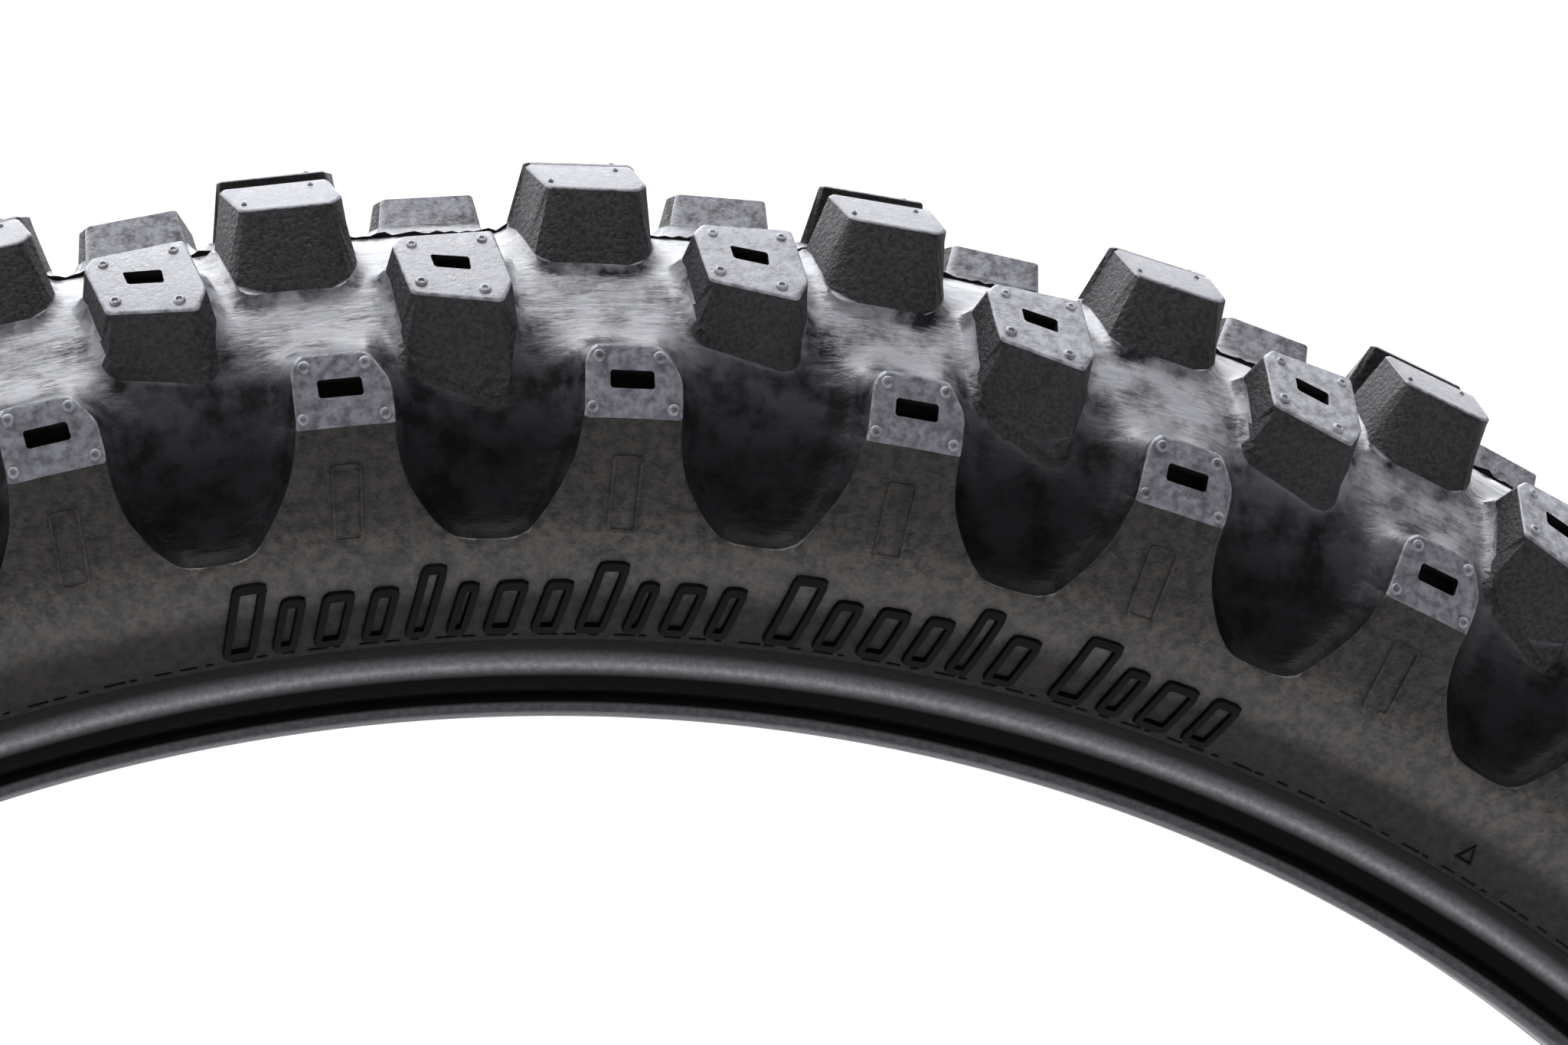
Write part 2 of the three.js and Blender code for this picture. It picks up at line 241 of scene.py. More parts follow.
def ring_around(outline, distance, closed, step):
    """Points at a distance outside an outline whose outer side is on the left of its direction."""
    p = np.asarray(outline, float)
    count = len(p) if closed else len(p) - 1
    a = p[:count]
    b = np.array([p[(i + 1) % len(p)] for i in range(count)])
    points = []
    for i in range(count):
        d = unit(b[i] - a[i])
        n = left_of(d)
        pieces = max(1, int(round(np.linalg.norm(b[i] - a[i]) / step)))
        for k in range(pieces):
            points.append(a[i] + (b[i] - a[i]) * (k + 0.5) / pieces + n * distance)
        if not closed and i + 1 == count:
            continue
        e = unit(b[(i + 1) % count] - a[(i + 1) % count])
        if d[0] * e[1] - d[1] * e[0] < -0.02:  # an outward corner gets a fan of points
            fans = max(1, int(round(math.acos(max(-1, min(1, d @ e))) * distance / step)))
            for k in range(fans + 1):
                t = k / fans
                points.append(b[i] + unit(n * (1 - t) + left_of(e) * t) * distance)
    points = np.array(points)
    return points[to_segments(points, a, b) > distance * 0.97]


# ---- one piece of the tread, two pitches long ----

# A knob's outline is [along, out] in its flat top; its root is where the walls would meet
# the casing, as steps from the outline at the knob's full height.
CENTRE_KNOB = {
    "middle": [6.5, 348.3],
    "lean": math.radians(13),
    "stagger": 1.45,
    "depth": 12.0,
    "fillet": [1.3, 3.2],
    "outline": [[-8.8, -3.3], [-8.1, -4.4], [7.9, -4.45], [9.6, 2.9], [7.9, 4.95], [-6.1, 4.7]],
    "root": [[-3.0, 1.8], [-2.4, 1.2], [1.7, 1.2], [1.8, 5.4], [0.4, 8.3], [-1.6, 8.3]],
    "slot": None,
}
MIDDLE_KNOB = {
    "middle": [21.0, 338.95],
    "lean": math.radians(34),
    "stagger": 1.75,
    "depth": 10.0,
    "fillet": [2.2, 3.4],
    "outline": [[-6.8, -6.6], [7.1, -7.2], [9.2, 3.8], [7.4, 8.0], [-6.2, 5.6], [-8.4, -4.4]],
    "root": [[-2.0, -0.6], [1.4, -0.6], [1.6, 5.6], [0.3, 9.3], [-1.0, 9.4], [-2.6, 3.0]],
    "slot": [[-2.8, -2.3], [3.1, -1.5], [3.2, 1.3], [-2.3, 0.4]],
}
SLOT_DEPTH = 3.2
SIDE_SLOT = [[-3.6, 46.2], [3.7, 46.2], [3.9, 49.0], [-3.5, 49.0]]
PATCH_SPAN = [42.3, 53.6]  # the spans that the patch's top and foot stand for

# The buttress's edges as [u, share of the way down from the patch to the scallop's floor].
BUTTRESS_LEFT = [[-24.0, 1.0], [-20.4, 0.993], [-17.3, 0.934], [-14.9, 0.802]]
BUTTRESS_LEFT += [[-11.9, 0.588], [-9.6, 0.363], [-8.5, 0.176], [-7.8, 0.0]]
BUTTRESS_RIGHT = [[8.5, 0.0], [8.7, 0.242], [9.9, 0.489], [12.4, 0.714]]
BUTTRESS_RIGHT += [[14.8, 0.863], [17.4, 0.962], [20.6, 0.993], [24.0, 1.0]]
PATCH_OUTLINE = [[-7.6, 52.0], [-7.5, 44.1], [-6.2, 42.3], [5.1, 42.4], [8.4, 47.2], [8.6, 52.0]]

TOP, BEVEL, FOOT, FREE, SLOT_FLOOR, RAISED, RAISED_EDGE, INNER_WALL = range(8)

KNOB_BEVEL = 0.3
WALL_STEP = 2.2
# The least s of an inner wall's top, bevel and foot, so that facing knobs stay apart.
INNER_LEAST = (0.75, 0.55, 0.32)
# The feet of the middle row lie farther out than this, and the painted shade of their outer walls
# runs on over a share of the fillet, from one distance out of the foot's centre to another.
MIDDLE_ROW_FROM = 14.0
WALL_SHARE_OF_FILLET = 0.4
WALL_RUN_FROM, WALL_RUN_TO = 3.0, 9.0
# Faces of the middle row's walls that look to the centre plane, between these s. They take the
# knob tops' lighter finish, painted light for their lit side.
INNER_WALL_TURN = 1.1
INNER_WALL_FROM, INNER_WALL_TO = 8.5, 17.0


def knob_levels(knob, u, shift):
    """Rings of [u, s, height] of a crown knob: top, bevel and foot, and its slot's rings."""
    lean = knob["lean"]
    up = np.array([math.sin(lean), math.cos(lean)])
    out = np.array([math.cos(lean), -math.sin(lean)])
    top_centre = np.array(knob["middle"]) + shift * knob["stagger"] * out

    def place(points, depth):
        """[along, out] at a depth under the knob's top, as [u, s, height]."""
        depth = np.broadcast_to(np.asarray(depth, float), (len(points),))
        flat = top_centre + points[:, 1:2] * out - depth[:, None] * up
        radius = np.hypot(flat[:, 1], points[:, 0])
        angle = np.arctan2(points[:, 0], flat[:, 1])
        s, h = on_casing(flat[:, 0], radius)
        return np.stack([u + angle * CROWN, s, h], -1)

    outline = np.array(knob["outline"], float)
    root = outline + np.array(knob["root"], float)
    # Both are rounded with as many points, so that a point of one belongs to a point of the other.
    tops, roots = rounded(outline, 0.7, 4), rounded(root, 2.2, 4)
    top_ring, root_ring = [], []
    for a, b, c, d in zip(tops, np.roll(tops, -1, axis=0), roots, np.roll(roots, -1, axis=0)):
        count = max(1, int(round(np.linalg.norm(b - a) / WALL_STEP)))
        for k in range(count):
            top_ring.append(a + (b - a) * (k / count))
            root_ring.append(c + (d - c) * (k / count))
    top_ring, root_ring = np.array(top_ring), np.array(root_ring)

    def down(share):
        """The wall at a share of the knob's full depth."""
        share = np.broadcast_to(share, (len(top_ring),))
        return place(top_ring + (root_ring - top_ring) * share[:, None], share * knob["depth"])

    top = place(inset(top_ring, KNOB_BEVEL), 0.0)
    bevel = down(KNOB_BEVEL / knob["depth"])
    low, high = np.full(len(top_ring), 0.1), np.full(len(top_ring), 1.6)
    for _ in range(30):
        mid = (low + high) / 2
        above = down(mid)[:, 2] > knob["fillet"][0]
        low, high = np.where(above, mid, low), np.where(above, high, mid)
    foot = down(low)
    inner = top_ring[:, 1] < 0
    top[inner, 1] = np.maximum(top[inner, 1], INNER_LEAST[0])
    bevel[inner, 1] = np.clip(bevel[inner, 1], INNER_LEAST[1], top[inner, 1] - 0.15)
    foot[inner, 1] = np.clip(foot[inner, 1], INNER_LEAST[2], bevel[inner, 1] - 0.12)
    levels = [(top, TOP), (bevel, BEVEL), (foot, FOOT)]
    if knob["slot"]:
        rim = rounded(knob["slot"], 0.3, 2)
        levels.append((place(rim, 0.0), TOP))
        floor = place(inset(rim, 0.3), 0.0)
        floor[:, 2] -= SLOT_DEPTH
        levels.append((floor, SLOT_FLOOR))
    return levels


def patch_point(u, span):
    """[u, s, height] of a point of a side knob's patch, span measured over the crown's arc."""
    share = (np.asarray(span, float) - PATCH_SPAN[0]) / (PATCH_SPAN[1] - PATCH_SPAN[0])
    flat = PATCH_TOP + share[..., None] * (PATCH_FOOT - PATCH_TOP)
    s, h = on_casing(flat[..., 0], flat[..., 1])
    return np.stack([np.asarray(u, float), s, h], -1)


def raised_outline():
    """The edge of the raised part of one pitch, [u, s], from scallop to scallop."""

    def lower(points):
        scale = [1, PATCH_FOOT[1] - WIDEST[1]]
        curve = spline(np.array(points) * scale, 1.7) / scale
        flat = PATCH_FOOT + curve[:, 1:2] * (WIDEST - PATCH_FOOT)
        return np.stack([curve[:, 0], on_casing(flat[:, 0], flat[:, 1])[0]], -1)

    outline = np.array(PATCH_OUTLINE)
    patch = patch_point(outline[:, 0], outline[:, 1])[:, :2]
    corner = rounded(patch, 0.9, 3)[3:-3]
    middle = subdivided(np.vstack([patch[:1], corner, patch[-1:]]), 2.0, closed=False)
    return np.vstack([lower(BUTTRESS_LEFT), middle, lower(BUTTRESS_RIGHT)])


RAISED_OUTLINE = raised_outline()
RAISED_LINE = np.vstack(
    [RAISED_OUTLINE[:-1] + [(row + 0.5) * PITCH + SIDE_LEAD, 0] for row in range(-2, 5)]
)[::-1]
EDGE_IN, EDGE_OUT = -0.4, 0.12  # the raised part's bevel, from its outline
EDGE_DROP = 0.3
SCOOP_WIDTH = 9.0


def folded(points):
    """Points [u, s] of either side as [u, |s|]."""
    return np.stack([points[:, 0], np.abs(points[:, 1])], -1)


def side_distance(points):
    """Distance from the edge of the raised part, negative on it. points are [u, |s|]."""
    d = to_segments(points, RAISED_LINE[:-1], RAISED_LINE[1:])
    closed = np.vstack([RAISED_LINE, [[RAISED_LINE[-1, 0], 99], [RAISED_LINE[0, 0], 99]]])
    return np.where(inside(points, closed), -d, d)


def scoop(x):
    """A quarter circle that falls from 1 to 0 and ends level."""
    x = np.clip(x, 0, 1)
    return 1 - np.sqrt(np.maximum(1 - (1 - x) ** 2, 0))


def side_height(points):
    """Height of the side knobs, the buttresses and the scallops. points are [u, |s|]."""
    s = points[:, 1]
    d = side_distance(points)
    full = raised_height(s)
    drop = np.minimum(np.interp(d, [EDGE_IN, EDGE_OUT], [0.0, EDGE_DROP]), full * 0.3)
    beyond = (full - drop) * scoop((d - EDGE_OUT) / SCOOP_WIDTH)
    return np.where(s >= LOWER_START, 0, np.where(d > EDGE_OUT, beyond, full - drop))


# Shares of a fillet's and of a scallop's width at which a ring of vertices lies.
FILLET_RINGS = (0.07, 0.2, 0.4, 0.66, 1.0)
SCALLOP_RINGS = (0.03, 0.09, 0.18, 0.3, 0.46, 0.7, 1.0)
GRID_U, GRID_S = 3.3, 2.9
KNOB_REACH = 20.0


def build_patch():
    """Two pitches of the tread and sidewalls, as vertices, triangles, and their zones and kinds."""
    spare = 9.0
    lo, hi = SEAM - spare, SEAM + 2 * PITCH + spare
    points, levels, edges = [], [], []

    def add(ring, level, closed=None):
        start = sum(len(p) for p in points)
        points.append(ring)
        levels.append(np.full(len(ring), level))
        if closed is not None:
            for i in range(len(ring) if closed else len(ring) - 1):
                edges.append((start + i, start + (i + 1) % len(ring)))

    feet = []
    for row in range(-1, 4):
        for flip in (1, -1):
            shift = -1 if row % 2 == 0 else 1
            for knob, u in (
                (CENTRE_KNOB, (row + 0.5) * PITCH),
                (MIDDLE_KNOB, (row + 1) * PITCH + MIDDLE_LEAD),
            ):
                if not lo - 12 < u < hi + 12:
                    continue
                for ring, level in knob_levels(knob, u, shift):
                    ring = ring * [1, flip, 1]
                    if level == FOOT:
                        feet.append((ring[:, :2], *knob["fillet"]))
                    add(ring, level, True)
    slot = np.array(SIDE_SLOT)
    for row in range(-1, 4):
        u = (row + 0.5) * PITCH + SIDE_LEAD
        if not lo - 12 < u < hi + 12:
            continue
        for flip in (1, -1):
            rim = rounded(slot, 0.35, 2)
            ring = patch_point(rim[:, 0] + u, rim[:, 1])
            floor = inset(rim, 0.3)
            deep = patch_point(floor[:, 0] + u, floor[:, 1])
            deep[:, 2] -= SLOT_DEPTH
            add(ring * [1, flip, 1], RAISED, True)
            add(deep * [1, flip, 1], SLOT_FLOOR, True)

    def near_feet(flat):
        """Each knob's fillet and foot, the points near them, and their distance from the foot."""
        for foot, tall, wide in feet:
            near = (np.abs(flat - foot.mean(axis=0)) < KNOB_REACH).all(axis=1)
            if near.any():
                d = to_segments(flat[near], foot, np.roll(foot, -1, axis=0))
                yield foot, tall, wide, near, d

    def free_heights(flat):
        """Height of the surface away from the crown knobs' own walls."""
        total = side_height(folded(flat))
        for _, tall, wide, near, d in near_feet(flat):
            total[near] += tall * scoop(d / wide)
        return total

    def in_foot(flat, margin):
        found = np.zeros(len(flat), bool)
        for foot, _, _, near, d in near_feet(flat):
            found[near] |= inside(flat[near], foot) | (d < margin)
        return found

    # a neighbour's fillet raises the foot of a knob a little
    found = [ring for ring, level in zip(points, levels) if level[0] == FOOT]
    for ring, (_, tall, _) in zip(found, feet):
        ring[:, 2] += np.maximum(free_heights(ring[:, :2]) - tall, 0)

    free = []
    for foot, _, wide in feet:
        outline = foot[::-1] if anticlockwise(foot) else foot
        for share in FILLET_RINGS:
            ring = ring_around(outline, wide * share, True, 1.6 + share)
            free.append(ring[~in_foot(ring, wide * share * 0.95)])
    for flip in (1, -1):
        for distance, level in ((EDGE_IN, RAISED), (EDGE_OUT, RAISED_EDGE)):
            line = offset_line(RAISED_LINE, distance)
            line = line[(line[:, 0] > lo) & (line[:, 0] < hi)]
            add(np.column_stack([line * [1, flip], side_height(line)]), level, False)
        for share in SCALLOP_RINGS:
            distance = EDGE_OUT + SCOOP_WIDTH * share
            ring = ring_around(RAISED_LINE, distance, False, 1.7 + share) * [1, flip]
            free.append(ring[~in_foot(ring, 0.8)])
    free = np.vstack(free)
    free = free[(free[:, 0] > lo) & (free[:, 0] < hi)]
    free = thinned(free, 0.8)

    rows = enumerate(np.arange(-62, 62.1, GRID_S))
    grid = [[i + (j % 2) * GRID_U / 2, s] for j, s in rows for i in np.arange(lo, hi, GRID_U)]
    grid = np.array(grid)
    keep = (side_distance(folded(grid)) > 2.8) & (np.abs(grid[:, 1]) < LOWER_START - 1)
    grid = grid[keep & ~in_foot(grid, 0.9)]
    grid = grid[nearest(grid, free) > 1.7]
    spans = np.linspace(PATCH_END + 4, LOWER_START - 1.5, 4)
    inner = [[u, flip * s] for flip in (1, -1) for s in spans for u in np.arange(lo, hi, 3.6)]
    inner = np.array(inner)
    inner = inner[side_distance(folded(inner)) < -1.3]
    low = np.linspace(LOWER_START + 1.6, S_END, 10)
    spans, around_it = [LOWER_START, *low], SEAM + np.arange(-2, 28) * 2 * PITCH / 26
    lower = np.array([[u, flip * s] for flip in (1, -1) for s in spans for u in around_it])

    # the parting line between the tread and the sidewalls follows one radius
    u = np.arange(lo, hi, 0.7)
    s = np.full(len(u), ARC_END + 3.0)
    for _ in range(12):
        h = side_height(np.stack([u, s], -1))
        target = ARC_END + (PATCH_FOOT[1] - FLANK_TOP[1] - h * FLANK_NORMAL[1]) / FLANK[1]
        s = 0.5 * s + 0.5 * target
    d = side_distance(np.stack([u, s], -1))
    s = np.where(d < -0.45, PATCH_END, s)
    lines = [np.stack([u, flip * s], -1) for flip in (1, -1)]
    crown = np.arange(-LOWER_START, LOWER_START + 0.1, LOWER_START / 32)
    seam = np.concatenate([-low[::-1], crown, low])[:, None] * [0, 1]
    lines += [seam + [at, 0] for at in (SEAM, SEAM + 2 * PITCH)]

    def flat_add(flat, level, closed=None):
        add(np.column_stack([flat, free_heights(flat)]), level, closed)

    for flat, level in ((free, FREE), (grid, FREE), (inner, RAISED), (lower, RAISED)):
        flat_add(flat, level)
    for line in lines:
        flat_add(line, FREE, False)

    data = np.vstack(points)
    level = np.concatenate(levels)
    out_points, _, faces, origin, _, _ = delaunay_2d_cdt(
        [Vector(p[:2]) for p in data], edges, [], 0, 1e-5
    )
    flat = np.array([[p.x, p.y] for p in out_points])
    source = np.array([o[0] if o else -1 for o in origin])
    height = np.where(source >= 0, data[source, 2], 0)
    made = np.where(source >= 0, level[source], FREE)
    new = source < 0
    if new.any():
        height[new] = free_heights(flat[new])
    triangles = np.array([f for f in faces if len(f) == 3])
    middle = flat[triangles].mean(axis=1)
    keep = (middle[:, 0] > SEAM) & (middle[:, 0] < SEAM + 2 * PITCH)
    keep &= np.abs(middle[:, 1]) < S_END
    triangles, middle = triangles[keep], middle[keep]
    parting = np.interp(middle[:, 0], u, s)
    zone = (np.abs(middle[:, 1]) > parting) * np.sign(middle[:, 1])
    corner = made[triangles]
    raised_distance = side_distance(folded(middle))
    kind = np.full(len(triangles), FREE)
    kind[(corner <= FOOT).all(axis=1) & (corner.min(axis=1) < FOOT)] = FOOT
    surface = np.column_stack([flat[:, 0], np.abs(flat[:, 1]), height])[triangles]
    normal = np.cross(surface[:, 1] - surface[:, 0], surface[:, 2] - surface[:, 0])
    normal *= np.sign(normal[:, 2:])
    # steep faces that look to the centre plane are the middle knobs' inner walls
    inwards = -normal[:, 1] > INNER_WALL_TURN * np.abs(normal[:, 0])
    inwards &= (np.abs(middle[:, 1]) > INNER_WALL_FROM) & (np.abs(middle[:, 1]) < INNER_WALL_TO)
    # the walls' painted shade runs on over part of each middle knob's outer fillet
    for foot, _, wide in feet:
        centre = foot.mean(axis=0)
        if abs(centre[1]) < MIDDLE_ROW_FROM:
            continue
        outward = (middle[:, 1] - centre[1]) * np.sign(centre[1])
        near = (np.abs(middle[:, 0] - centre[0]) < 9.5) & (outward > WALL_RUN_FROM) & (outward < 16)
        where = np.flatnonzero(near & (kind == FREE))
        d = to_segments(middle[where], foot, np.roll(foot, -1, axis=0))
        share = np.interp(outward[where], [WALL_RUN_FROM, WALL_RUN_TO], [0, WALL_SHARE_OF_FILLET])
        kind[where[d < wide * share]] = FOOT
    kind[(kind == FOOT) & inwards] = INNER_WALL
    kind[(corner <= BEVEL).all(axis=1)] = BEVEL
    kind[(corner == TOP).all(axis=1)] = TOP
    kind[(raised_distance < EDGE_OUT) & (raised_distance > EDGE_IN)] = RAISED_EDGE
    kind[raised_distance < 0] = RAISED
    kind[(corner == SLOT_FLOOR).any(axis=1)] = SLOT_FLOOR
    crown_u = np.linspace(SEAM, SEAM + 2 * PITCH, 193)
    crown = free_heights(np.stack([crown_u, np.zeros(len(crown_u))], -1))

    def crown_height(line):
        return np.interp((line[:, 0] - SEAM) % (2 * PITCH) + SEAM, crown_u, crown)

    return flat, height, triangles, zone, kind, crown_height


def nearest(points, others):
    """Distance from each point to the nearest of the others, in blocks."""
    blocks = [points[i : i + 400, None] - others for i in range(0, len(points), 400)]
    return np.concatenate([np.linalg.norm(block, axis=-1).min(axis=1) for block in blocks])


def thinned(points, distance):
    """The points without those closer than a distance to an earlier one."""
    cells, keep = {}, []
    for i, p in enumerate(points):
        column, row = (int(math.floor(x / distance)) for x in p)
        around_it = [
            j
            for a in (-1, 0, 1)
            for b in (-1, 0, 1)
            for j in cells.get((column + a, row + b), ())
        ]
        if all(np.hypot(*(points[j] - p)) >= distance for j in around_it):
            cells.setdefault((column, row), []).append(i)
            keep.append(i)
    return points[keep]


def offset_line(line, distance):
    """The open line moved to its left by a distance, its outer side."""
    n = left_of(unit(np.diff(line, axis=0)))
    before, after = np.vstack([n[:1], n]), np.vstack([n, n[-1:]])
    scale = np.maximum(1 + (before * after).sum(axis=1), 0.5)
    return line + (before + after) * distance / scale[:, None]


# ---- meshes ----


def wheel(points):
    """[u, s, height] as x, y, z in metres."""
    points = np.asarray(points, float)
    point, normal = casing(np.abs(points[:, 1]))
    flat = point + points[:, 2:3] * normal
    angle = points[:, 0] / CROWN
    side = np.where(points[:, 1] < 0, flat[:, 0], -flat[:, 0])
    return np.stack([flat[:, 1] * np.sin(angle), side, flat[:, 1] * np.cos(angle)], -1) * MM


def new_piece(name, vertices, faces, materials, nodes, kinds=None, sharp=50):
    mesh = bpy.data.meshes.new(name)
    mesh.from_pydata([tuple(v) for v in vertices], [], [tuple(int(i) for i in f) for f in faces])
    mesh.update()
    obj = bpy.data.objects.new(name, mesh)
    bpy.context.scene.collection.objects.link(obj)
    for material in materials:
        mesh.materials.append(material)
    if kinds is not None:
        mesh.polygons.foreach_set("material_index", np.asarray(kinds, np.int32))
    mesh.polygons.foreach_set("use_smooth", np.ones(len(mesh.polygons), bool))
    mesh.set_sharp_from_angle(angle=math.radians(sharp))
    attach(obj, "root")
    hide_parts(*nodes)
    return obj


def joined(flat, height, triangles, kinds):
    """The patch's triangles with pairs that lie flat together joined into four-sided faces."""
    used, index = np.unique(triangles, return_inverse=True)
    points = np.column_stack([flat[used], height[used]])
    index = index.reshape(-1, 3)
    space = wheel(points)
    bm = bmesh.new()
    vertices = [bm.verts.new(p) for p in space]
    for corner, kind in zip(index, kinds):
        face = bm.faces.new([vertices[i] for i in corner])
        face.material_index = int(kind)
    bm.normal_update()
    bmesh.ops.join_triangles(
        bm,
        faces=bm.faces[:],
        cmp_materials=True,
        angle_face_threshold=0.25,
        angle_shape_threshold=0.9,
    )
    bm.verts.index_update()
    faces = [[v.index for v in f.verts] for f in bm.faces]
    kinds = [f.material_index for f in bm.faces]
    bm.free()
    return points, faces, np.array(kinds)


def whole(points, faces, kinds):
    """The patch repeated all the way round, with its two seams joined."""
    n, copies = len(points), PITCHES // 2
    first = np.flatnonzero(np.abs(points[:, 0] - SEAM) < 1e-3)
    last = np.flatnonzero(np.abs(points[:, 0] - SEAM - 2 * PITCH) < 1e-3)
    gap = np.linalg.norm(points[last, None, 1:] - points[first, 1:], axis=-1)
    partner = dict(zip(last.tolist(), first[gap.argmin(axis=1)].tolist()))
    all_faces = []
    for k in range(copies):
        here, after = k * n, (k + 1) % copies * n
        for face in faces:
            all_faces.append([after + partner[i] if i in partner else here + i for i in face])
    everything = np.vstack([points + [k * 2 * PITCH, 0, 0] for k in range(copies)])
    used = np.unique([i for f in all_faces for i in f])
    index = np.full(len(everything), -1)
    index[used] = np.arange(len(used))
    # wheel() mirrors, so the faces are turned round to face outwards
    all_faces = [[index[i] for i in f[::-1]] for f in all_faces]
    return wheel(everything[used]), all_faces, np.tile(kinds, copies)


LATHE_STEPS = 368


def lathe(name, section, right, material, nodes):
    """A closed section [side, radius] turned round the wheel axis."""
    count = len(section)
    side = -1 if right else 1
    vertices, faces = [], []
    for k in range(LATHE_STEPS):
        a = 2 * math.pi * k / LATHE_STEPS
        for x, r in section:
            vertices.append((r * math.sin(a) * MM, side * x * MM, r * math.cos(a) * MM))
        here, after = k * count, (k + 1) % LATHE_STEPS * count
        for i in range(count):
            j = (i + 1) % count
            faces.append([here + i, here + j, after + j, after + i])
    if anticlockwise(section) == (side > 0):
        faces = [f[::-1] for f in faces]
    return new_piece(name, vertices, faces, [material], nodes, sharp=40)


# ---- small moulded details, as closed shells that stand in the rubber ----


class Shells:
    """Vertices and faces of small shells, with a material for each face."""

    def __init__(self):
        self.vertices, self.faces, self.kinds = [], [], []

    def add(self, points, faces, kind, flip=False):
        start = len(self.vertices)
        self.vertices += [tuple(p) for p in wheel(points)]
        for face in faces:
            face = [start + i for i in face]
            self.faces.append(face[::-1] if flip else face)
            self.kinds.append(kind)


SUNK = 0.35


def ridge(line, width, height, closed, lift):
    """A low ridge over the casing along a line of [u, s]; lift gives the surface's own height."""
    line = np.asarray(line, float)
    count = len(line)
    before = np.roll(line, 1, axis=0) if closed else np.vstack([line[:1], line[:-1]])
    after = np.roll(line, -1, axis=0) if closed else np.vstack([line[1:], line[-1:]])
    n1, n2 = left_of(unit(line - before)), left_of(unit(after - line))
    mid = n1 + n2
    if closed:
        mid = mid / np.maximum(1 + (n1 * n2).sum(axis=1), 0.6)[:, None]
    else:
        mid = unit(mid)
    base = lift(line)
    rows = []
    for across, level in ((-0.5, -SUNK), (-0.32, height), (0.32, height), (0.5, -SUNK)):
        rows.append(np.column_stack([line + mid * width * across, base + level]))
    points = np.stack(rows, 1).reshape(-1, 3)
    faces = []
    for i in range(count if closed else count - 1):
        a, b = 4 * i, 4 * ((i + 1) % count)
        for k in range(3):
            faces.append([a + k, b + k, b + k + 1, a + k + 1])
        faces.append([a + 3, b + 3, b, a])
    if not closed:
        faces.append([0, 1, 2, 3])
        last = 4 * (count - 1)
        faces.append([last + 3, last + 2, last + 1, last])
    return points, faces


NUB_SIDES = 14


def nub(flat, upward, spot, angle, flip):
    """A vent nub, a raised ring with a dimple, on a flat [side, radius] of a row of knobs."""
    along, _, size, height = spot
    centre = on_wheel(flat, along, angle, flip)
    ahead = (on_wheel(flat, along + 1, angle, flip) - centre) / MM
    up = (on_wheel(flat + upward, along, angle, flip) - centre) / MM
    across = np.cross(up, ahead)
    rings = ((1, -0.3), (1, height * 0.55), (0.8, height), (0.55, height), (0.38, height * 0.25))
    vertices, faces = [], []
    for share, lift in rings:
        for k in range(NUB_SIDES):
            a = 2 * math.pi * k / NUB_SIDES
            offset = (math.cos(a) * ahead + math.sin(a) * across) * size * share + up * lift
            vertices.append(centre + offset * MM)
    for level in range(len(rings) - 1):
        for k in range(NUB_SIDES):
            a, b = level * NUB_SIDES + k, level * NUB_SIDES + (k + 1) % NUB_SIDES
            faces.append([a, b, b + NUB_SIDES, a + NUB_SIDES])
    last = (len(rings) - 1) * NUB_SIDES
    faces.append([last + k for k in range(NUB_SIDES)])
    faces.append(list(range(NUB_SIDES))[::-1])
    return vertices, faces


def on_wheel(side_radius, along, angle, flip):
    """A point [side, radius] moved along its row and turned round the wheel, in metres."""
    x, z = along, side_radius[1]
    c, n = math.cos(angle), math.sin(angle)
    return np.array([x * c + z * n, -flip * side_radius[0], z * c - x * n]) * MM


def knob_nubs(knob, spots, row, angle, flip):
    """Nubs on a crown knob's top, at spots [along, out, radius, height]."""
    lean = knob["lean"]
    up = np.array([math.sin(lean), math.cos(lean)])
    out = np.array([math.cos(lean), -math.sin(lean)])
    shift = (-1 if row % 2 == 0 else 1) * knob["stagger"]
    top = np.array(knob["middle"])
    return [nub(top + (spot[1] + shift) * out, up, spot, angle, flip) for spot in spots]


def patch_nubs(angle, flip):
    """Nubs on a side knob's patch, at spots [along, share of the way down, radius, height]."""
    down = PATCH_FOOT - PATCH_TOP
    normal = left_of(unit(down))
    return [nub(PATCH_TOP + spot[1] * down, normal, spot, angle, flip) for spot in PATCH_SPOTS]


CENTRE_SPOTS = [[-5.4, 2.6, 0.42, 0.3], [5.2, -2.6, 0.42, 0.25]]
MIDDLE_SPOTS = [[-5.4, -4.6, 0.8, 0.3], [5.4, -5.2, 0.8, 0.3]]
MIDDLE_SPOTS += [[-4.6, 3.6, 0.95, 0.4], [4.9, 5.6, 0.95, 0.4]]
PATCH_SPOTS = [[-5.0, 0.16, 0.95, 0.4], [4.2, 0.16, 0.95, 0.4]]
PATCH_SPOTS += [[-5.9, 0.86, 0.9, 0.4], [6.4, 0.87, 0.9, 0.4]]


def all_nubs():
    vertices, faces = [], []
    pitch = 2 * math.pi / PITCHES
    for flip in (1, -1):
        for row in range(PITCHES):
            half = (row + 0.5) * pitch
            full = (row + 1) * pitch + MIDDLE_LEAD / CROWN
            found = knob_nubs(CENTRE_KNOB, CENTRE_SPOTS, row, half, flip)
            found += knob_nubs(MIDDLE_KNOB, MIDDLE_SPOTS, row, full, flip)
            found += patch_nubs(half + SIDE_LEAD / CROWN, flip)
            for points, polygons in found:
                start = len(vertices)
                vertices += [tuple(p) for p in points]
                faces += [[start + i for i in polygon] for polygon in polygons]
    return vertices, faces


def level_of(line):
    """Height over the casing of the buttresses and of the smooth sidewall."""
    return raised_height(line[:, 1])


def s_at(radius):
    """s of the sidewall's surface at a radius, below the scallops or on a buttress."""
    s = np.linspace(PATCH_END, S_END, 600)
    point, normal = casing(s)
    return float(np.interp(-radius, -(point + raised_height(s)[:, None] * normal)[:, 1], s))


